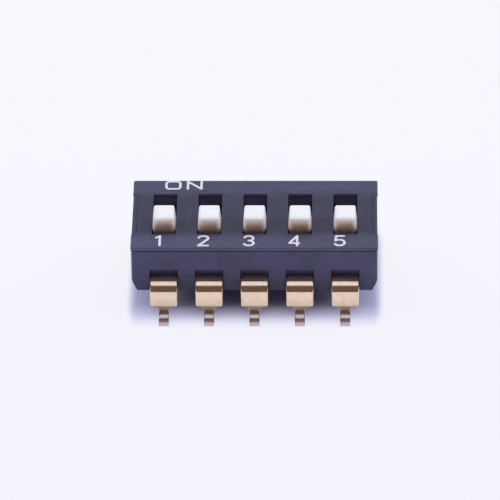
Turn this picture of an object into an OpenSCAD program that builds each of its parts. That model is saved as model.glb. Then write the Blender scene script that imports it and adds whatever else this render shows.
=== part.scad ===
// Surface-mount slide switch row (dual in-line package), raised knobs, gull-wing terminals.
// X runs along the row with switch 1 at -X. -Y is the numbered side, where every switch
// is off. +Y is the ON side. Z = 0 is the circuit board.

/* [Row] */
// Number of switches in the row
positions = 5; // [2:1:9]
// Distance between the centres of neighbouring switches
pitch = 2.54; // [2.54:0.01:3.2]
// Length of the housing beyond positions x pitch
end_margin = 1.06; // [0.9:0.02:1.6]

/* [Housing] */
// Width of the housing, front to rear
housing_w = 6.5; // [6.3:0.1:8]
// Height of the housing, underside to top
housing_h = 2.9; // [2.7:0.1:3.6]
// Height of the underside above the circuit board
standoff = 1.25; // [1:0.05:1.6]
// Thickness of the front and rear walls
side_wall = 0.6; // [0.5:0.02:0.74]
// Thickness of the end walls where the cover drops between them
end_wall = 0.5; // [0.4:0.02:0.6]
// Thickness of the floor that carries the fixed contacts
floor_t = 0.86; // [0.7:0.01:1]
// Width of the chamber that each slider runs in
chamber_w = 1.8; // [1.5:0.01:1.95]
// Radius of the upright corners
corner_r = 0.15; // [0.05:0.01:0.25]
// Width of the chamfer under each end
end_chamfer_w = 0.3; // [0.1:0.05:0.45]
// Height of the chamfer under each end
end_chamfer_h = 0.65; // [0.2:0.05:1]
// Diameter of the mould's support-pin marks under each fixed contact
mark_d = 0.5; // [0.3:0.05:0.7]

/* [Cover] */
// Thickness of the cover where it drops into the base
cover_t = 0.75; // [0.6:0.01:0.95]
// Thickness of the lip that rests on the walls
lip_t = 0.18; // [0.14:0.01:0.24]
// Amount that the four corner ears stand out past the end faces
ear_proud = 0.03; // [0:0.01:0.1]
// Length of the end notch between two ears
notch_l = 3.8; // [2:0.1:4.6]
// Depth of the end notch, measured from the end face
notch_d = 0.27; // [0.15:0.01:0.35]
// Width of a knob slot
slot_w = 1.35; // [1.1:0.01:1.64]
// Length of a knob slot
slot_l = 3.8; // [3.4:0.05:4.2]
// Distance of the slots' centre from the housing's centre, towards the ON side
slot_y = 0; // [0:0.01:0.2]
// Diameter of the pins that locate the cover in the ribs
pin_d = 0.42; // [0.3:0.01:0.52]
// Length of those pins
pin_l = 0.6; // [0.3:0.05:0.8]
// Distance of those pins from the centre line
pin_y = 1.6; // [0.8:0.1:2.2]
// Chamfer round the upper edges of the housing
edge_chamfer = 0.05; // [0.02:0.01:0.08]

/* [Slider] */
// Length of a knob at the cover
knob_l = 1.48; // [1.2:0.01:1.7]
// Height of a knob above the cover
knob_h = 0.8; // [0.4:0.05:1.2]
// Narrowing of each side of the knob from the cover to its top
knob_draft = 0.07; // [0:0.01:0.1]
// Radius of the knob's upright edges
knob_r = 0.24; // [0.12:0.01:0.3]
// Radius of the knob's top edges
knob_top_r = 0.12; // [0.06:0.01:0.2]
// Thickness of the plate under the cover
plate_t = 0.6; // [0.4:0.05:0.7]
// Thickness of the two rails under the plate
rail_t = 0.25; // [0.15:0.01:0.3]
// Diameter of the staked post that holds the sliding contact
post_d = 0.36; // [0.25:0.01:0.45]
// Diameter of the post's head
post_head_d = 0.62; // [0.5:0.01:0.7]
// Height of the post's head
post_head_h = 0.08; // [0.05:0.01:0.12]

/* [Terminals] */
// Thickness of the terminal strip
strip_t = 0.25; // [0.2:0.01:0.32]
// Width of a terminal down to its neck
terminal_w = 1.54; // [1.2:0.01:1.7]
// Width of the solder foot
foot_w = 0.56; // [0.4:0.01:0.8]
// Length of straight strip from the wall to the shoulder bend
exit_l = 0.34; // [0.2:0.01:0.6]
// Radius of the shoulder bend's outer face
shoulder_r = 0.7; // [0.4:0.01:0.8]
// Outward lean of the leg, in degrees
lean = 8; // [0:1:12]
// Radius of the long bend at the neck, on the outer face
neck_r = 0.93; // [0.6:0.01:1]
// Slope that the neck bends out to, in degrees from upright
neck_angle = 55; // [45:1:60]
// Radius of the short bend above the solder foot, on the outer face
heel_r = 0.25; // [0.15:0.01:0.4]
// Length of the flat solder foot beyond its bend
foot_l = 0.35; // [0.3:0.01:0.8]
// Length of full-width strip that runs on into the neck bend
wide_run = 0.2; // [0.15:0.01:0.25]
// Radius of the outer corners where the full width ends
tab_r = 0.1; // [0.05:0.01:0.15]
// Length of the inner curve from those corners to the neck
fillet_l = 0.26; // [0.15:0.01:0.3]
// Radius of the die-rolled edges on the strip's outer face
edge_r = 0.07; // [0.02:0.01:0.1]
// Depth of the recess in the wall round each terminal
recess_d = 0.3; // [0.15:0.01:0.35]
// Height of the recess above the terminal
recess_h = 0.55; // [0.3:0.01:0.7]
// Width of the fixed contact in the chamber floor
contact_w = 1; // [0.7:0.01:1.1]
// Length of the full-width root that runs on into the chamber floor
root_l = 0.12; // [0.05:0.01:0.3]

/* [Sliding contact] */
// Thickness of the leaf
leaf_t = 0.1; // [0.08:0.01:0.15]
// Gap between the leaf and the slider's rails
leaf_play = 0.12; // [0.05:0.01:0.2]
// Length of its flat middle
leaf_flat = 1; // [0.8:0.05:1.2]
// Outer radius of the contact bumps
bump_r = 0.22; // [0.16:0.01:0.26]
// Distance of the bumps from the slider's ends
bump_inset = 0.35; // [0.3:0.01:0.5]
// Width of the slit that splits each arm in two
slit_w = 0.16; // [0.1:0.01:0.25]

/* [Clearances] */
// Gap between a moving piece and what it slides in or on
slide_gap = 0.03; // [0.02:0.005:0.05]
// Gap between a knob and either side of its slot
knob_gap = 0.025; // [0.02:0.005:0.05]
// Gap between pieces that are fitted together
fit_gap = 0.02; // [0.01:0.005:0.04]
// Gap between a knob and either end of its slot
stop_gap = 0.31; // [0.04:0.01:0.35]
// Gap between the slider and either end of its chamber
end_gap = 0.05; // [0.03:0.01:0.1]

/* [Hidden] */
$fn = 64;
hull_fn = 32;
// Steps and step angles along and round a terminal
shoulder_steps = 16;
neck_steps = 3;
heel_steps = 5;
tab_step = 45;
fillet_step = 15;
edge_step = 30;
eps = 0.01;

housing_l = positions * pitch + end_margin;
top_z = standoff + housing_h;
cover_under_z = top_z - cover_t;
rim_z = top_z - lip_t;
floor_z = standoff + floor_t;
chamber_l = housing_w - 2 * side_wall;
seat_l = housing_l - 2 * end_wall;

knob_w = slot_w - 2 * knob_gap;
travel = slot_l - knob_l - 2 * stop_gap;
off_y = slot_y - travel / 2;
on_y = slot_y + travel / 2;
slider_l = chamber_l - travel - 2 * slot_y - 2 * end_gap;
slider_w = chamber_w - 2 * slide_gap;
leaf_w = slider_w - 2 * rail_t - 2 * leaf_play;
plate_top_z = cover_under_z - slide_gap;
plate_z = plate_top_z - plate_t;
bump_y = slider_l / 2 - bump_inset;

wall_y = housing_w / 2 - recess_d;
leg_l = (floor_z - strip_t - shoulder_r * (1 - sin(lean)) - heel_r * (1 - sin(neck_angle))
    - neck_r * (sin(neck_angle) - sin(lean))) / cos(lean);
neck_l = neck_r * (neck_angle - lean) * PI / 180;
narrow_run = neck_l - wide_run - fillet_l;
tab_w = terminal_w - 2 * tab_r;
// Centres of a terminal's bends as (forward, height) points, forward from the wall
shoulder_c = [exit_l, floor_z - shoulder_r];
neck_c = shoulder_c + (shoulder_r + neck_r) * [cos(lean), sin(lean)]
    + leg_l * [sin(lean), -cos(lean)];
heel_c = neck_c - (neck_r - heel_r) * [cos(neck_angle), sin(neck_angle)];
recess_w = terminal_w + 2 * fit_gap;
recess_top_z = floor_z + recess_h;
front_contact_y = on_y - bump_y + bump_r;
rear_contact_y = slot_y + bump_y;

function switch_x(i) = (i - (positions + 1) / 2) * pitch;

// ---- outlines ----

module rounded_rect(l, w, r) {
    square([l - 2 * r, w], center = true);
    square([l, w - 2 * r], center = true);
    for (x = [-1, 1], y = [-1, 1])
        translate([x * (l / 2 - r), y * (w / 2 - r)]) circle(r);
}

// Part of a ring of strip whose outer radius is r, from angle a0 to angle a1 (under 180 apart)
module ring_sector(r, t, a0, a1) {
    reach = 3 * r;
    mid = (a0 + a1) / 2;
    intersection() {
        difference() {
            circle(r);
            circle(r - t);
        }
        polygon([
            [0, 0],
            reach * [cos(a0), sin(a0)],
            reach * [cos(mid), sin(mid)],
            reach * [cos(a1), sin(a1)]
        ]);
    }
}

// Extrudes a (Y, Z) outline along X, centred on X = 0
module across(w) {
    translate([-w / 2, 0, 0]) rotate([90, 0, 90]) linear_extrude(w) children();
}

// Extrudes an (X, Z) outline along -Y from y0 over a length l
module forward(y0, l) {
    translate([0, y0, 0])
        rotate([90, 0, 0])
            linear_extrude(l) children();
}

// Straight prism that breaks an edge along X at height z and distance y, or along Y when turned
module edge_cut(l, size) {
    rotate([45, 0, 0]) cube([l, size * sqrt(2), size * sqrt(2)], center = true);
}

// ---- base ----

module base() color("#1d1d22") difference() {
    union() {
        translate([0, 0, standoff])
            linear_extrude(rim_z - standoff) rounded_rect(housing_l, housing_w, corner_r);
        end_tongues();
    }
    translate([0, 0, cover_under_z])
        linear_extrude(housing_h) square([seat_l, chamber_l], center = true);
    for (i = [1:positions]) translate([switch_x(i), 0, 0]) {
        translate([0, 0, floor_z])
            linear_extrude(housing_h) square([chamber_w, chamber_l], center = true);
        terminal_pocket(front_contact_y);
        mirror([0, 1, 0]) terminal_pocket(-rear_contact_y);
    }
    rib_pins(pin_d + 2 * fit_gap, pin_l + fit_gap);
    end_chamfers();
    for (x = [-1, 1]) translate([x * housing_l / 2, 0, top_z])
        rotate([0, 0, 90]) edge_cut(housing_w, edge_chamfer);
    for (y = [-1, 1]) translate([0, y * housing_w / 2, rim_z])
        edge_cut(housing_l, edge_chamfer);
}

// Tongue of each end wall that stands up in the cover's notch
module end_tongues() {
    for (x = [-1, 1]) scale([x, 1, 1])
        translate([housing_l / 2 - notch_d + fit_gap, -notch_l / 2 + fit_gap, rim_z - eps])
            cube([notch_d - fit_gap, notch_l - 2 * fit_gap, lip_t + eps]);
}

// Everything that one front terminal takes out of the base
module terminal_pocket(reach_y) {
    terminal_blade(reach_y);
    translate([-recess_w / 2, -housing_w / 2 - eps, standoff - eps])
        cube([recess_w, recess_d + eps, recess_top_z - standoff + eps]);
    translate([0, -chamber_l / 2 + mark_d, standoff - eps])
        cylinder(d = mark_d, h = floor_t - strip_t + eps);
}

module end_chamfers() {
    for (x = [-1, 1]) scale([x, 1, 1])
        forward(housing_w, 2 * housing_w)
            polygon([
                [housing_l / 2 - end_chamfer_w, standoff],
                [housing_l / 2 - end_chamfer_w, standoff - 1],
                [housing_l / 2 + 1, standoff - 1],
                [housing_l / 2 + 1, standoff + end_chamfer_h],
                [housing_l / 2, standoff + end_chamfer_h]
            ]);
}

// Pins of the cover, or with a larger diameter their holes, in the ribs between the chambers
module rib_pins(d, l) {
    for (i = [1:positions - 1], y = [-1, 1])
        translate([switch_x(i) + pitch / 2, y * pin_y, cover_under_z - l])
            cylinder(d = d, h = l + eps);
}

// ---- cover ----

module cover() color("#202026") difference() {
    union() {
        translate([0, 0, rim_z]) linear_extrude(lip_t) cover_outline();
        translate([0, 0, cover_under_z])
            linear_extrude(cover_t - lip_t + eps)
                square([seat_l - 2 * fit_gap, chamber_l - 2 * fit_gap], center = true);
        rib_pins(pin_d, pin_l);
    }
    for (i = [1:positions])
        translate([switch_x(i), slot_y, cover_under_z - eps])
            linear_extrude(cover_t + 2 * eps) square([slot_w, slot_l], center = true);
    for (x = [-1, 1]) translate([x * (housing_l / 2 + ear_proud), 0, top_z])
        rotate([0, 0, 90]) edge_cut(housing_w, edge_chamfer);
    for (y = [-1, 1]) translate([0, y * housing_w / 2, top_z])
        edge_cut(housing_l, edge_chamfer);
}

module cover_outline() difference() {
    rounded_rect(housing_l + 2 * ear_proud, housing_w, corner_r);
    for (x = [-1, 1])
        translate([x * (housing_l / 2), 0])
            square([2 * notch_d, notch_l], center = true);
}

// ---- sliders ----

module actuator() color("#f4f2ee") translate([0, off_y, 0]) {
    knob();
    translate([0, 0, plate_z])
        linear_extrude(plate_t) rounded_rect(slider_w, slider_l, corner_r);
    for (x = [-1, 1])
        translate([x * (slider_w - rail_t) / 2, 0, floor_z + slide_gap])
            linear_extrude(plate_z - floor_z - slide_gap + eps)
                square([rail_t, slider_l - 2 * corner_r], center = true);
    translate([0, 0, plate_z - leaf_t - eps]) cylinder(d = post_d, h = leaf_t + 2 * eps);
    translate([0, 0, plate_z - leaf_t - post_head_h]) cylinder(d = post_head_d, h = post_head_h);
}

// Knob from the plate up through the slot, straight to the cover and drafted above it
module knob() {
    low_x = knob_w / 2 - knob_r;
    low_y = knob_l / 2 - knob_r;
    high_x = knob_w / 2 - knob_draft - knob_top_r;
    high_y = knob_l / 2 - knob_draft - knob_top_r;
    hull($fn = hull_fn) for (x = [-1, 1], y = [-1, 1]) {
        translate([x * low_x, y * low_y, plate_top_z - eps])
            cylinder(r = knob_r, h = top_z - plate_top_z + eps);
        translate([x * high_x, y * high_y, top_z + knob_h - knob_top_r])
            sphere(knob_top_r);
    }
}

// Bridging leaf: flat middle under the plate, two split arms that end in rounded bumps
module sliding_contact() color("#d8b060") translate([0, off_y, 0]) difference() {
    across(leaf_w) {
        translate([-leaf_flat / 2, plate_z - leaf_t]) square([leaf_flat, leaf_t]);
        leaf_arm();
        mirror([1, 0]) leaf_arm();
    }
    translate([0, 0, plate_z - 2 * leaf_t])
        cylinder(d = post_d + 2 * fit_gap, h = 3 * leaf_t);
    for (y = [-1, 1])
        translate([0, y * (leaf_flat / 2 + slider_l / 2), 0])
            cube([slit_w, slider_l, 3 * top_z], center = true);
}

// One arm as a (Y, Z) outline: it runs tangent from the flat into the bump's ring
module leaf_arm() {
    mid_r = bump_r - leaf_t / 2;
    root = [leaf_flat / 2, plate_z - leaf_t / 2];
    bump = [bump_y, floor_z + slide_gap + bump_r];
    span = norm(bump - root);
    slope = atan2(bump[1] - root[1], bump[0] - root[0]) - asin(mid_r / span);
    arm = sqrt(span * span - mid_r * mid_r);
    tip_angle = 20;
    translate(root) {
        circle(d = leaf_t);
        rotate(slope) translate([0, -leaf_t / 2]) square([arm + eps, leaf_t]);
    }
    translate(bump) {
        ring_sector(bump_r, leaf_t, slope - 90, tip_angle);
        rotate(tip_angle) translate([mid_r, 0]) circle(d = leaf_t);
    }
}

// ---- terminals ----

// One front terminal of a switch at X = 0; its fixed contact ends at reach_y in the chamber
module terminal(reach_y) color("#d9b98c") {
    terminal_blade(reach_y);
    lead();
}

// The part inside the housing: full width through the wall, then the narrower fixed contact
module terminal_blade(reach_y) {
    root_y = root_l - chamber_l / 2;
    translate([0, -wall_y - eps, floor_z - strip_t]) linear_extrude(strip_t) {
        translate([-terminal_w / 2, 0]) square([terminal_w, root_y + wall_y + eps]);
        translate([-contact_w / 2, 0]) square([contact_w, reach_y + wall_y + eps]);
    }
}

// The bent strip outside the wall: one section carried through the stations along its path
module lead() {
    rings = [for (s = lead_stations()) ring(s)];
    n = len(rings[0]);
    last = (len(rings) - 1) * n;
    polyhedron(
        [for (r = rings, p = r) p],
        concat(
            [[for (j = [n - 1:-1:0]) j]],
            [[for (j = [0:n - 1]) last + j]],
            [for (i = [0:n:last - n], j = [0:n - 1]) [i + j, i + (j + 1) % n, i + n + j]],
            [for (i = [0:n:last - n], j = [0:n - 1])
                [i + (j + 1) % n, i + n + (j + 1) % n, i + n + j]]
        )
    );
}

// Stations on the outer face, each [forward, height, slope, width]
function lead_stations() = concat(
    [[-eps, floor_z, 0, terminal_w]],
    [for (k = [0:shoulder_steps])
        arc_station(shoulder_c, shoulder_r, (90 - lean) * k / shoulder_steps, terminal_w)],
    [neck_station(0, terminal_w)],
    [for (a = [0:tab_step:90])
        neck_station(wide_run - tab_r * (1 - sin(a)), tab_w + 2 * tab_r * cos(a))],
    [for (a = [fillet_step:fillet_step:90])
        neck_station(wide_run + fillet_l * (1 - cos(a)), tab_w - (tab_w - foot_w) * sin(a))],
    [for (k = [1:neck_steps])
        neck_station(wide_run + fillet_l + narrow_run * k / neck_steps, foot_w)],
    [for (k = [heel_steps - 1:-1:0])
        arc_station(heel_c, -heel_r, (90 - neck_angle) * k / heel_steps, foot_w)],
    [[heel_c[0] + foot_l, strip_t, 0, foot_w]]
);

// Station on an arc whose centre is inside the bend for r > 0, and out in front for r < 0
function arc_station(centre, r, slope, w) =
    [centre[0] + r * sin(slope), centre[1] + r * cos(slope), slope, w];

function neck_station(s, w) =
    arc_station(neck_c, -neck_r, 90 - lean - s / neck_r * 180 / PI, w);

function ring(station) = [
    for (p = strip_section(station[3]))
        [p[0], -wall_y - station[0] + p[1] * sin(station[2]), station[1] - p[1] * cos(station[2])]
];

// Section of the strip as [across, depth] points, with die-rolled edges on the outer face
function strip_section(w) = concat(
    [for (a = [0:edge_step:90]) [w / 2 - edge_r * (1 - sin(a)), edge_r * (1 - cos(a))]],
    [[w / 2, strip_t], [-w / 2, strip_t]],
    [for (a = [90:-edge_step:0]) [edge_r * (1 - sin(a)) - w / 2, edge_r * (1 - cos(a))]]
);

base();
cover();
for (i = [1:positions]) translate([switch_x(i), 0, 0]) {
    actuator();
    sliding_contact();
    terminal(front_contact_y);
    mirror([0, 1, 0]) terminal(-rear_contact_y);
}
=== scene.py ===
import math
import bmesh
import bpy
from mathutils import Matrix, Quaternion, Vector


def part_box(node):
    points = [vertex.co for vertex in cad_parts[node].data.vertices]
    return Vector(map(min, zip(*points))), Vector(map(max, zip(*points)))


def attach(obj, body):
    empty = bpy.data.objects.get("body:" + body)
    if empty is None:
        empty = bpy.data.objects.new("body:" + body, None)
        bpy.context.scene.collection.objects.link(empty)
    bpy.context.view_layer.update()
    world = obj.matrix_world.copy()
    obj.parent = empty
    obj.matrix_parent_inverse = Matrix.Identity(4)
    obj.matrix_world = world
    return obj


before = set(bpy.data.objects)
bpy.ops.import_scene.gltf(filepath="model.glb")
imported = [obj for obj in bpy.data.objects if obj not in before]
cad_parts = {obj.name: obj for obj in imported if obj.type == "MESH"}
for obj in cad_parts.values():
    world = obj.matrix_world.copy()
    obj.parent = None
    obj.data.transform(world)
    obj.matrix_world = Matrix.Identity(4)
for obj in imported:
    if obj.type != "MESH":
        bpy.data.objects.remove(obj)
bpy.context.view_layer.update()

# Sizes on the switch are in millimetres, and mm turns them into the frame's metres.
mm = 0.001
switches = len([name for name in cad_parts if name.startswith("actuator_")])
cover_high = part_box("cover")[1] / mm
lip = 0.18  # the cover's thin edge, down to the seam
toe_end = -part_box("terminal_front_1")[0].y / mm


def knob_centre_x(number):
    low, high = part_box(f"actuator_{number}")
    return (low.x + high.x) / 2 / mm


# ---- colours and nodes ----

# A Mix node has its colour sockets at these places, and other sockets with the same names.
mix_a, mix_b, mix_result = 6, 7, 2


def linear(hex_colour):
    """An sRGB hex colour as linear red, green, blue and alpha."""
    levels = [int(hex_colour[i:i + 2], 16) / 255 for i in (1, 3, 5)]
    return [c / 12.92 if c <= 0.04045 else ((c + 0.055) / 1.055) ** 2.4 for c in levels] + [1]


def per_mm(size):
    """Pattern scale whose features are about size millimetres across."""
    return 1 / (size * mm)


def add(tree, kind, values=None, links=None, **settings):
    """Adds a node, with its settings, its sockets' values and the links into its sockets. Each
    link comes from a socket, or from a node, which stands for its first output."""
    node = tree.nodes.new(kind)
    for name, value in settings.items():
        setattr(node, name, value)
    for socket, value in (values or {}).items():
        node.inputs[socket].default_value = value
    for socket, source in (links or {}).items():
        output = source.outputs[0] if hasattr(source, "outputs") else source
        tree.links.new(output, node.inputs[socket])
    return node


def new_material(name):
    """An empty node material, its tree, and its object coordinates in metres."""
    material = bpy.data.materials.new(name)
    material.use_nodes = True
    tree = material.node_tree
    tree.nodes.clear()
    place = add(tree, "ShaderNodeTexCoord").outputs["Object"]
    return material, tree, place


# ---- finishes ----

def moulded_pbt(name, dark, light, wall, roughness):
    """Black glass-filled PBT from a spark-finished mould: a satin blue-black skin with a fine even
    grain, faint cloudy flow marks along the row, and patches a little duller or brighter. The top
    face is painted darker between the slots and lighter towards its front and rear edges, as painted
    shade and sheen. Below the top face it is painted lighter and greyer, as painted light on the
    shaded walls and slots, with shade painted along the seam and towards the foot of the walls."""
    material, tree, place = new_material(name)
    axes = add(tree, "ShaderNodeSeparateXYZ", links={"Vector": place})
    across = add(tree, "ShaderNodeMath", links={0: axes.outputs["Y"]}, operation="ABSOLUTE")
    # Painted shade and sheen: the top face is lighter towards its front and rear edges than between
    # the slots.
    painted_sheen_band = add(tree, "ShaderNodeMapRange", {"From Min": 1.5 * mm, "From Max": 2.4 * mm},
                {"Value": across})
    top = add(tree, "ShaderNodeMix", {mix_a: linear(dark), mix_b: linear(light)},
              {"Factor": painted_sheen_band}, data_type="RGBA")
    # Painted light: below the top face, the lighter wall colour stands in for light on the shaded
    # walls and slots.
    painted_wall_light = add(tree, "ShaderNodeMapRange",
                  {"From Min": (cover_high.z - 0.01) * mm, "From Max": (cover_high.z - 0.06) * mm},
                  {"Value": axes.outputs["Z"]})
    skin = add(tree, "ShaderNodeMix", {mix_b: linear(wall)},
               {"Factor": painted_wall_light, mix_a: top.outputs[mix_result]}, data_type="RGBA")

    flow = add(tree, "ShaderNodeVectorMath", {1: (0.5, 1, 1)}, {0: place}, operation="MULTIPLY")
    cloud = add(tree, "ShaderNodeTexNoise", {"Scale": per_mm(1.2), "Detail": 3.0, "Roughness": 0.6},
                {"Vector": flow})
    shade = add(tree, "ShaderNodeMapRange",
                {"From Min": 0.35, "From Max": 0.65, "To Min": 0.86, "To Max": 1.14},
                {"Value": cloud})
    # Painted shade: the walls darker towards their foot, near the board.
    painted_low_shade = add(tree, "ShaderNodeMapRange",
                {"From Min": 1.4 * mm, "From Max": 2.6 * mm, "To Min": 0.65},
                {"Value": axes.outputs["Z"]})
    # Painted shade: darker within 0.09 mm of the seam between cover and base.
    from_seam = add(tree, "ShaderNodeMath", {1: (cover_high.z - lip) * mm}, {0: axes.outputs["Z"]},
                    operation="SUBTRACT")
    off_seam = add(tree, "ShaderNodeMath", links={0: from_seam}, operation="ABSOLUTE")
    painted_seam_shade = add(tree, "ShaderNodeMapRange",
               {"From Min": 0.03 * mm, "From Max": 0.09 * mm, "To Min": 0.5}, {"Value": off_seam})
    level = shade
    for darker in (painted_seam_shade, painted_low_shade):
        level = add(tree, "ShaderNodeMath", links={0: level, 1: darker}, operation="MULTIPLY")
    colour = add(tree, "ShaderNodeVectorMath", links={0: skin.outputs[mix_result], "Scale": level},
                 operation="SCALE")

    patch = add(tree, "ShaderNodeTexNoise", {"Scale": per_mm(0.5)}, {"Vector": place})
    gloss = add(tree, "ShaderNodeMapRange",
                {"From Min": 0.3, "From Max": 0.7, "To Min": roughness - 0.05,
                 "To Max": roughness + 0.06}, {"Value": patch})
    # The mould's real grain is near 0.02 mm: drawn three times coarser so that it can be seen.
    grain = add(tree, "ShaderNodeTexNoise", {"Scale": per_mm(0.06), "Roughness": 0.6},
                {"Vector": place})
    bump = add(tree, "ShaderNodeBump", {"Distance": 0.006 * mm}, {"Height": grain})
    surface = add(tree, "ShaderNodeBsdfPrincipled", {"IOR": 1.57},
                  {"Base Color": colour, "Roughness": gloss, "Normal": bump})
    add(tree, "ShaderNodeOutputMaterial", links={"Surface": surface})
    return material


def moulded_nylon():
    """White nylon, moulded: a clean, slightly translucent white with a satin shine. Low on the
    middle of each face a tan is painted in as shade from the dark slot, and the knob is painted
    darker as shade where it runs below the cover's face."""
    material, tree, place = new_material("white_moulded_nylon")
    cloud = add(tree, "ShaderNodeTexNoise", {"Scale": per_mm(0.6)}, {"Vector": place})
    share = add(tree, "ShaderNodeMapRange", {"From Min": 0.35, "From Max": 0.65}, {"Value": cloud})
    white = add(tree, "ShaderNodeMix", {mix_a: linear("#fcf2f5"), mix_b: linear("#fef6f8")},
                {"Factor": share}, data_type="RGBA")

    # Noise that makes the edges of the painted shade uneven.
    ragged_edge = add(tree, "ShaderNodeTexNoise", {"Scale": per_mm(0.25)}, {"Vector": place})
    drift = add(tree, "ShaderNodeMapRange", {"To Min": -0.08 * mm, "To Max": 0.08 * mm},
                {"Value": ragged_edge})
    axes = add(tree, "ShaderNodeSeparateXYZ", links={"Vector": place})
    height = add(tree, "ShaderNodeMath", links={0: axes.outputs["Z"], 1: drift}, operation="ADD")
    low = add(tree, "ShaderNodeMapRange",
              {"From Min": (cover_high.z + 0.75) * mm, "From Max": (cover_high.z + 0.4) * mm},
              {"Value": height})
    first, second = knob_centre_x(1), knob_centre_x(2)
    along = add(tree, "ShaderNodeMath", {1: first * mm}, {0: axes.outputs["X"]},
                operation="SUBTRACT")
    from_middle = add(tree, "ShaderNodeMath", {1: (second - first) / 2 * mm}, {0: along},
                      operation="PINGPONG")
    middle = add(tree, "ShaderNodeMapRange", {"From Min": 0.6 * mm, "From Max": 0.38 * mm},
                 {"Value": from_middle})
    # Painted shade: tan low on the middle of each face, for the shade of the dark slot.
    painted_tan_shade_mask = add(tree, "ShaderNodeMath", links={0: low, 1: middle}, operation="MULTIPLY")
    painted_tan_shade = add(tree, "ShaderNodeMix", {mix_b: linear("#e7d6ba")},
              {"Factor": painted_tan_shade_mask, mix_a: white.outputs[mix_result]}, data_type="RGBA")
    # Painted shade: darker where the knob runs below the cover's face, in the shade of the slot.
    painted_slot_shade = add(tree, "ShaderNodeMapRange",
                  {"From Min": (cover_high.z + 0.45) * mm, "From Max": (cover_high.z - 0.1) * mm},
                  {"Value": height})
    colour = add(tree, "ShaderNodeMix", {mix_b: linear("#a8958a")},
                 {"Factor": painted_slot_shade, mix_a: painted_tan_shade.outputs[mix_result]}, data_type="RGBA")

    grain = add(tree, "ShaderNodeTexNoise", {"Scale": per_mm(0.08)}, {"Vector": place})
    bump = add(tree, "ShaderNodeBump", {"Distance": 0.002 * mm}, {"Height": grain})
    surface = add(tree, "ShaderNodeBsdfPrincipled",
                  {"IOR": 1.53, "Roughness": 0.4, "Subsurface Weight": 1.0,
                   "Subsurface Radius": (1.0, 0.8, 0.7), "Subsurface Scale": 1.0 * mm},
                  {"Base Color": colour.outputs[mix_result], "Normal": bump})
    add(tree, "ShaderNodeOutputMaterial", links={"Surface": surface})
    return material


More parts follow.
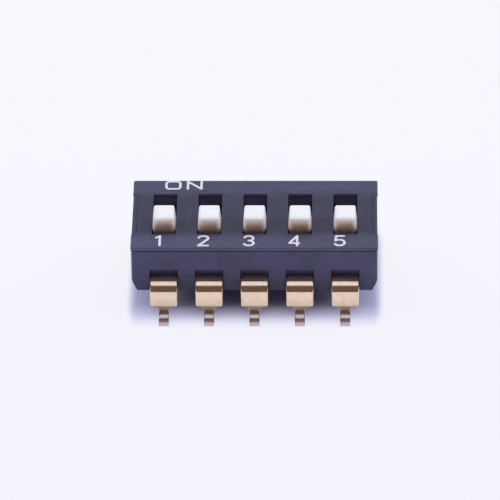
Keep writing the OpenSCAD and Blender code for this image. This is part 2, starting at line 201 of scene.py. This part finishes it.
def rolled_gold_flash():
    """Gold flash over nickel on rolled copper alloy: a pale bright gold with fine rolling lines
    along the strip, painted darker down the leg as a painted reflection of the shaded floor, and
    hazed by resin next to the wall and by flux at the neck. The solder foot is tinned: a dull
    grey-mauve, with a dark band painted in as a reflection a little behind the toe."""
    material, tree, place = new_material("gold_flash_on_rolled_strip")
    stain = add(tree, "ShaderNodeTexNoise", {"Scale": per_mm(0.4), "Detail": 3.0},
                {"Vector": place})
    share = add(tree, "ShaderNodeMapRange", {"From Min": 0.35, "From Max": 0.65}, {"Value": stain})
    bright = add(tree, "ShaderNodeMix", {mix_a: linear("#efdac2"), mix_b: linear("#e9d0b6")},
                 {"Factor": share}, data_type="RGBA")
    axes = add(tree, "ShaderNodeSeparateXYZ", links={"Vector": place})
    # Painted reflection: the gold darker towards the bottom of the leg, for the shaded floor it
    # reflects.
    painted_leg_shade = add(tree, "ShaderNodeMapRange",
                  {"From Min": 0.7 * mm, "From Max": 1.3 * mm, "To Min": 0.78},
                  {"Value": axes.outputs["Z"]})
    plated = add(tree, "ShaderNodeVectorMath",
                 links={0: bright.outputs[mix_result], "Scale": painted_leg_shade}, operation="SCALE")

    reach = add(tree, "ShaderNodeMath", links={0: axes.outputs["Y"]}, operation="ABSOLUTE")
    # What soldering leaves on the foot, and a dark band painted in as a reflection, change along
    # it. Each change starts and ends so many millimetres short of the toe's end, and goes from one
    # level to the other.
    changes = {
        "tinned": (0.66, 0.58, 0, 1),
        # Painted reflection: a dark band across the foot, ending towards the toe in the change below.
        "dark": (0.43, 0.36, 0, 1),
        "past_painted_band": (0.2, 0.05, 0, 1),
        "flux_crept": (0.86, 0.82, 0, 0.5),
        "flux_spent": (0.77, 0.69, 1, 0),
    }
    foot = {}
    for change, (start, end, before, after) in changes.items():
        foot[change] = add(tree, "ShaderNodeMapRange",
                           {"From Min": (toe_end - start) * mm, "From Max": (toe_end - end) * mm,
                            "To Min": before, "To Max": after}, {"Value": reach})
    # The heel's dark band is a painted reflection.
    heel_with_painted_band = add(tree, "ShaderNodeMix", {mix_a: linear("#cfc4c2"), mix_b: linear("#8a7c82")},
               {"Factor": foot["dark"]}, data_type="RGBA")
    tin = add(tree, "ShaderNodeMix", {mix_b: linear("#c6bac1")},
              {"Factor": foot["past_painted_band"], mix_a: heel_with_painted_band.outputs[mix_result]}, data_type="RGBA")
    colour = add(tree, "ShaderNodeMix",
                 links={"Factor": foot["tinned"], mix_a: plated, mix_b: tin.outputs[mix_result]},
                 data_type="RGBA")

    fluxed = add(tree, "ShaderNodeMath", links={0: foot["flux_crept"], 1: foot["flux_spent"]},
                 operation="MULTIPLY")
    dull_tin = add(tree, "ShaderNodeMath", {1: 0.28}, {0: foot["tinned"]}, operation="MULTIPLY")
    hazed = add(tree, "ShaderNodeMapRange",
                {"From Min": (cover_high.y + 0.27) * mm, "From Max": (cover_high.y + 0.14) * mm,
                 "To Max": 0.42}, {"Value": reach})
    gloss = add(tree, "ShaderNodeMapRange",
                {"From Min": 0.3, "From Max": 0.7, "To Min": 0.1, "To Max": 0.17},
                {"Value": stain})
    for duller in (fluxed, dull_tin, hazed):
        gloss = add(tree, "ShaderNodeMath", links={0: gloss, 1: duller}, operation="MAXIMUM")
    # Rolling lines are about 0.005 mm apart: drawn coarser, at 0.03 mm, so that they can be seen.
    along = add(tree, "ShaderNodeVectorMath", {1: (1, 0.02, 0.02)}, {0: place},
                operation="MULTIPLY")
    lines = add(tree, "ShaderNodeTexNoise", {"Scale": per_mm(0.03), "Roughness": 0.6},
                {"Vector": along})
    bump = add(tree, "ShaderNodeBump", {"Distance": 0.0004 * mm}, {"Height": lines})
    surface = add(tree, "ShaderNodeBsdfPrincipled", {"Metallic": 1.0},
                  {"Base Color": colour.outputs[mix_result], "Roughness": gloss, "Normal": bump})
    add(tree, "ShaderNodeOutputMaterial", links={"Surface": surface})
    return material


def gold_spring_leaf():
    """Gold plating on a thin phosphor-bronze spring: yellower and brighter than the terminals,
    with fine rolling lines along the leaf."""
    material, tree, place = new_material("gold_plated_spring_leaf")
    tone = add(tree, "ShaderNodeTexNoise", {"Scale": per_mm(0.3)}, {"Vector": place})
    colour = add(tree, "ShaderNodeMix", {mix_a: linear("#f0cf96"), mix_b: linear("#e4bd80")},
                 {"Factor": tone}, data_type="RGBA")
    # Rolled thinner than the terminals, so its lines are finer: drawn at 0.02 mm.
    along = add(tree, "ShaderNodeVectorMath", {1: (1, 0.03, 0.03)}, {0: place},
                operation="MULTIPLY")
    lines = add(tree, "ShaderNodeTexNoise", {"Scale": per_mm(0.02)}, {"Vector": along})
    bump = add(tree, "ShaderNodeBump", {"Distance": 0.0004 * mm}, {"Height": lines})
    surface = add(tree, "ShaderNodeBsdfPrincipled", {"Metallic": 1.0, "Roughness": 0.2},
                  {"Base Color": colour.outputs[mix_result], "Normal": bump})
    add(tree, "ShaderNodeOutputMaterial", links={"Surface": surface})
    return material


def pad_print_ink():
    """White pad-print ink: matt, slightly uneven, greyer where the film of ink is thin."""
    material, tree, place = new_material("white_pad_print_ink")
    film = add(tree, "ShaderNodeTexNoise", {"Scale": per_mm(0.12), "Detail": 3.0, "Roughness": 0.6},
               {"Vector": place})
    thin = add(tree, "ShaderNodeMapRange", {"From Min": 0.4, "From Max": 0.75}, {"Value": film})
    colour = add(tree, "ShaderNodeMix", {mix_a: linear("#e4e4ee"), mix_b: linear("#c6c6d6")},
                 {"Factor": thin}, data_type="RGBA")
    surface = add(tree, "ShaderNodeBsdfPrincipled", {"IOR": 1.5, "Roughness": 0.6},
                  {"Base Color": colour.outputs[mix_result]})
    add(tree, "ShaderNodeOutputMaterial", links={"Surface": surface})
    return material


# Each node's finish, by how its name starts.
finish_of = {
    "base": moulded_pbt("black_moulded_pbt_base", "#2c2b4c", "#363558", "#4b4a6d", 0.48),
    "cover": moulded_pbt("black_moulded_pbt_cover", "#2a2a44", "#3f3f5d", "#626284", 0.46),
    "actuator": moulded_nylon(),
    "sliding_contact": gold_spring_leaf(),
    "terminal": rolled_gold_flash(),
}
same_point = 0.0001  # facet corners closer than this are one
sharp_edge = math.radians(35)
for name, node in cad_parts.items():
    kind = next(k for k in finish_of if name.startswith(k))
    node.data.materials.clear()
    node.data.materials.append(finish_of[kind])
    weld = node.modifiers.new("join_facets", "WELD")
    weld.merge_threshold = same_point * mm
    crease = node.modifiers.new("keep_edges", "EDGE_SPLIT")
    crease.split_angle = sharp_edge


# ---- printed marks ----

ink = pad_print_ink()
ink_height = 0.01
ink_sunk = ink_height / 10
stroke = 0.14
digit_w, digit_h = 0.54, 0.89
digit_shift = -0.31  # from the knob's centre to the digit's
digit_y = -2.98      # the foot of the digits
word_h, word_y = 0.7, 2.41
word_letters = {"O": (-5.05, 0.79), "N": (-3.83, 0.77)}  # left edge and width


def arc(centre, rx, ry, start, end, steps=14):
    """Points on an elliptical arc, from start to end degrees, anticlockwise where end is more."""
    turns = [math.radians(start + (end - start) * i / steps) for i in range(steps + 1)]
    return [(centre[0] + rx * math.cos(a), centre[1] + ry * math.sin(a)) for a in turns]


def glyph_lines(mark, w, h):
    """Centre lines of a mark's strokes in a w x h cell whose lower left corner is (0, 0)."""
    r = w / 2
    corner = 0.2
    upper, lower = 0.24 * h, 0.26 * h
    far_x, far_y = w - corner, h - corner
    lines = {
        "1": [[(0.3 * w, 0.83 * h), (0.7 * w, h), (0.7 * w, 0)]],
        "2": [arc((r, h - upper), r, upper, 165, -25) + [(0, 0), (w, 0)]],
        "3": [arc((r, h - upper), 0.94 * r, upper, 160, -90), arc((r, lower), r, lower, 90, -160)],
        "4": [[(0.8 * w, h), (0, 0.26 * h), (w, 0.26 * h)], [(0.8 * w, h), (0.8 * w, 0)]],
        "5": [[(0.94 * w, h), (0.14 * w, h), (0.06 * w, 0.52 * h)]
              + arc((0.48 * w, 0.31 * h), 0.52 * w, 0.31 * h, 110, -155)],
        "O": [arc((far_x, far_y), corner, corner, 0, 90, 5)
              + arc((corner, far_y), corner, corner, 90, 180, 5)
              + arc((corner, corner), corner, corner, 180, 270, 5)
              + arc((far_x, corner), corner, corner, 270, 360, 5) + [(w, far_y)]],
        "N": [[(0, 0), (0, h), (w, 0), (w, h)]],
    }
    return [[Vector(point) for point in line] for line in lines[mark]]


def edge_of_stroke(line, side, half):
    """The line moved half a stroke to its left (side 1) or right (side -1), round at corners."""
    gentle_bend, steps = math.radians(30), 5
    moved = []
    for i, point in enumerate(line):
        ahead = (line[min(i + 1, len(line) - 1)] - line[min(i, len(line) - 2)]).normalized()
        behind = (line[max(i, 1)] - line[max(i - 1, 0)]).normalized()
        if line[0] == line[-1] and i in (0, len(line) - 1):
            ahead, behind = (line[1] - line[0]).normalized(), (line[-1] - line[-2]).normalized()
        normals = [Vector((-d.y, d.x)) * side for d in (behind, ahead)]
        turn = math.atan2(behind.cross(ahead), behind.dot(ahead))
        if -side * turn > gentle_bend:
            for k in range(steps + 1):
                share = turn * k / steps
                x, y = normals[0]
                moved.append(point + half * Vector((x * math.cos(share) - y * math.sin(share),
                                                    x * math.sin(share) + y * math.cos(share))))
        else:
            moved.append(point + (normals[0] + normals[1]) * half / (1 + normals[0].dot(normals[1])))
    return moved


def round_end(line, half, steps=6):
    """Points round the end of an open line, from its left side to its right."""
    along = (line[-1] - line[-2]).normalized()
    across = Vector((-along.y, along.x))
    turns = [math.pi * k / steps for k in range(1, steps)]
    return [line[-1] + half * (across * math.cos(a) + along * math.sin(a)) for a in turns]


def stroke_mesh(line):
    """One stroke as a flat closed solid, in millimetres."""
    half = stroke / 2
    left, right = edge_of_stroke(line, 1, half), edge_of_stroke(line, -1, half)
    bm = bmesh.new()
    if line[0] == line[-1]:
        loops = [[bm.verts.new((*p, 0)) for p in side[:-1]] for side in (left, right)]
        count = len(loops[0])
        for i in range(count):
            j = (i + 1) % count
            bm.faces.new((loops[0][i], loops[0][j], loops[1][j], loops[1][i]))
    else:
        outline = left + round_end(line, half) + right[::-1] + round_end(line[::-1], half)
        bm.faces.new([bm.verts.new((*p, 0)) for p in outline])
    top = bmesh.ops.extrude_face_region(bm, geom=bm.faces[:])["geom"]
    lifted = [v for v in top if isinstance(v, bmesh.types.BMVert)]
    bmesh.ops.translate(bm, verts=lifted, vec=(0, 0, ink_height))
    bmesh.ops.recalc_face_normals(bm, faces=bm.faces[:])
    mesh = bpy.data.meshes.new("stroke")
    bm.to_mesh(mesh)
    bm.free()
    return mesh


def joined(first, second):
    """Two closed meshes united into one."""
    objects = [bpy.data.objects.new("part", mesh) for mesh in (first, second)]
    for part in objects:
        bpy.context.scene.collection.objects.link(part)
    unite = objects[0].modifiers.new("unite", "BOOLEAN")
    unite.operation = "UNION"
    unite.solver = "EXACT"
    unite.object = objects[1]
    depsgraph = bpy.context.evaluated_depsgraph_get()
    mesh = bpy.data.meshes.new_from_object(objects[0].evaluated_get(depsgraph))
    for part in objects:
        bpy.data.objects.remove(part)
    return mesh


def print_mark(name, glyphs, y):
    """One printed mark on the cover: glyphs is a list of (character, left x, width, height)."""
    bm = bmesh.new()
    for character, x, w, h in glyphs:
        meshes = [stroke_mesh(line) for line in glyph_lines(character, w, h)]
        glyph = meshes[0] if len(meshes) == 1 else joined(*meshes)
        start = len(bm.verts)
        bm.from_mesh(glyph)
        bm.verts.ensure_lookup_table()
        bmesh.ops.translate(bm, verts=bm.verts[start:], vec=(x, y, cover_high.z - ink_sunk))
    bmesh.ops.scale(bm, verts=bm.verts[:], vec=(mm, mm, mm))
    mesh = bpy.data.meshes.new(name)
    bm.to_mesh(mesh)
    bm.free()
    mesh.materials.append(ink)
    piece = bpy.data.objects.new(name, mesh)
    bpy.context.scene.collection.objects.link(piece)
    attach(piece, "housing")


print_mark("print_on", [(c, x, w, word_h) for c, (x, w) in word_letters.items()], word_y)
for number in range(1, switches + 1):
    left = knob_centre_x(number) + digit_shift - digit_w / 2
    print_mark(f"print_{number}", [(str(number), left, digit_w, digit_h)], digit_y)


# ---- floor, light and camera; lamps and camera distance in metres ----

def paper_floor():
    """Matt bluish-white paper, even and faintly fibrous. Away from the housing it goes over to the
    plain white of a catalogue page, painted a little darker and cooler in front as a light falloff,
    and close by it keeps the shadow, with a blue tint painted round the housing as shadow."""
    material, tree, place = new_material("matt_white_paper")
    fibre = add(tree, "ShaderNodeTexNoise", {"Scale": per_mm(0.4), "Detail": 3.0},
                {"Vector": place})
    bump = add(tree, "ShaderNodeBump", {"Distance": 0.002 * mm}, {"Height": fibre})
    paper = add(tree, "ShaderNodeBsdfPrincipled",
                {"Base Color": linear("#d4d5f8"), "Roughness": 0.9, "IOR": 1.45,
                 "Specular IOR Level": 0.2}, {"Normal": bump})

    # How far a point lies outside the shadowed middle. A millimetre to the side counts for more
    # than one in front, because the shadow is shorter there.
    middle = ((cover_high.x - 0.3) * mm, (cover_high.y - 0.4) * mm, 0)
    mirrored = add(tree, "ShaderNodeVectorMath", links={0: place}, operation="ABSOLUTE")
    past = add(tree, "ShaderNodeVectorMath", {1: middle}, {0: mirrored}, operation="SUBTRACT")
    outside = add(tree, "ShaderNodeVectorMath", {1: (0, 0, 0)}, {0: past}, operation="MAXIMUM")
    weighed = add(tree, "ShaderNodeVectorMath", {1: (3.5, 1, 0)}, {0: outside},
                  operation="MULTIPLY")
    length = add(tree, "ShaderNodeVectorMath", links={0: weighed}, operation="LENGTH")
    distance = length.outputs["Value"]

    y = add(tree, "ShaderNodeSeparateXYZ", links={"Vector": place}).outputs["Y"]
    # Painted light falloff: the page a little darker and cooler in front.
    painted_falloff = add(tree, "ShaderNodeMapRange", {"From Min": -12 * mm, "From Max": 14 * mm},
               {"Value": y}, interpolation_type="SMOOTHSTEP")
    plain = add(tree, "ShaderNodeMix", {mix_a: linear("#f9f8fe"), mix_b: linear("#fcfcff")},
                {"Factor": painted_falloff}, data_type="RGBA")
    # Painted shadow: a blue tint on the page close round the housing, fading out by 2.5 mm.
    painted_shadow_tint_fade = add(tree, "ShaderNodeMapRange", {"From Min": 0.4 * mm, "From Max": 2.5 * mm},
                  {"Value": distance}, interpolation_type="SMOOTHSTEP")
    white = add(tree, "ShaderNodeMix", {mix_a: linear("#dcdcfe")},
                {"Factor": painted_shadow_tint_fade, mix_b: plain.outputs[mix_result]}, data_type="RGBA")
    page = add(tree, "ShaderNodeEmission", links={"Color": white.outputs[mix_result]})

    share = add(tree, "ShaderNodeMapRange", {"From Max": 2.35 * mm, "To Max": 0.87},
                {"Value": distance}, interpolation_type="SMOOTHSTEP")
    ray = add(tree, "ShaderNodeLightPath").outputs
    seen = ray["Is Camera Ray"]
    for other in ("Is Glossy Ray", "Is Transmission Ray"):
        seen = add(tree, "ShaderNodeMath", links={0: seen, 1: ray[other]}, operation="MAXIMUM")
    as_page = add(tree, "ShaderNodeMath", links={0: share, 1: seen}, operation="MULTIPLY")
    surface = add(tree, "ShaderNodeMixShader", links={0: as_page, 1: paper, 2: page})
    add(tree, "ShaderNodeOutputMaterial", links={"Surface": surface})
    bpy.ops.mesh.primitive_plane_add(size=3.0, location=(0, 0, 0))
    floor = bpy.context.object
    floor.name = "paper_floor"
    floor.data.materials.append(material)


def studio_world():
    """A dim room: blue-grey all round, and brown in front, round the camera."""
    world = bpy.data.worlds.new("dim_studio")
    bpy.context.scene.world = world
    world.use_nodes = True
    tree = world.node_tree
    tree.nodes.clear()
    way = add(tree, "ShaderNodeTexCoord").outputs["Generated"]
    y = add(tree, "ShaderNodeSeparateXYZ", links={"Vector": way}).outputs["Y"]
    front = add(tree, "ShaderNodeMapRange", {"From Min": -0.4, "From Max": -0.55}, {"Value": y})
    colour = add(tree, "ShaderNodeMix", {mix_a: linear("#62627c"), mix_b: linear("#6e5d5b")},
                 {"Factor": front}, data_type="RGBA")
    light = add(tree, "ShaderNodeBackground", links={"Color": colour.outputs[mix_result]})
    add(tree, "ShaderNodeOutputWorld", links={"Surface": light})


def softbox(name, place, size, aim, radiance):
    """A rectangular softbox aimed at a point; radiance 1 is the level of a white page."""
    lamp = bpy.data.lights.new(name, "AREA")
    lamp.shape = "RECTANGLE"
    lamp.size, lamp.size_y = size
    lamp.energy = radiance * math.pi * size[0] * size[1]
    box = bpy.data.objects.new(name, lamp)
    box.location = place
    box.rotation_euler = (Vector(aim) - Vector(place)).to_track_quat("-Z", "Y").to_euler()
    bpy.context.scene.collection.objects.link(box)


def catalogue_camera():
    """A long lens, a little above the front and a touch to the right."""
    turn, rise, roll = math.radians(1.34), math.radians(36.5), math.radians(-0.8)
    distance, lens, sensor = 0.3, 382.3, 36
    target = Vector((-0.304, 0, 1.638)) * mm
    back = Vector((math.sin(turn) * math.cos(rise), -math.cos(turn) * math.cos(rise), math.sin(rise)))
    camera = bpy.data.objects.new("camera", bpy.data.cameras.new("camera"))
    camera.data.lens = lens
    camera.data.sensor_width = sensor
    camera.data.clip_start = 0.01
    camera.data.clip_end = 20
    camera.location = target + back * distance
    camera.rotation_mode = "QUATERNION"
    camera.rotation_quaternion = (-back).to_track_quat("-Z", "Y") @ Quaternion((0, 0, 1), roll)
    bpy.context.scene.collection.objects.link(camera)
    bpy.context.scene.camera = camera


paper_floor()
studio_world()
softbox("overhead_softbox", place=(0, 0.36, 0.6), size=(0.72, 1.44), aim=(0, 0.36, 0),
        radiance=0.84)
for side, way in (("left", -1), ("right", 1)):
    softbox(f"{side}_softbox", place=(way * 0.77, 0.24, 0.59), size=(0.65, 0.65), aim=(0, 0, 0),
            radiance=4.0)
catalogue_camera()
bpy.context.scene.view_settings.view_transform = "Standard"
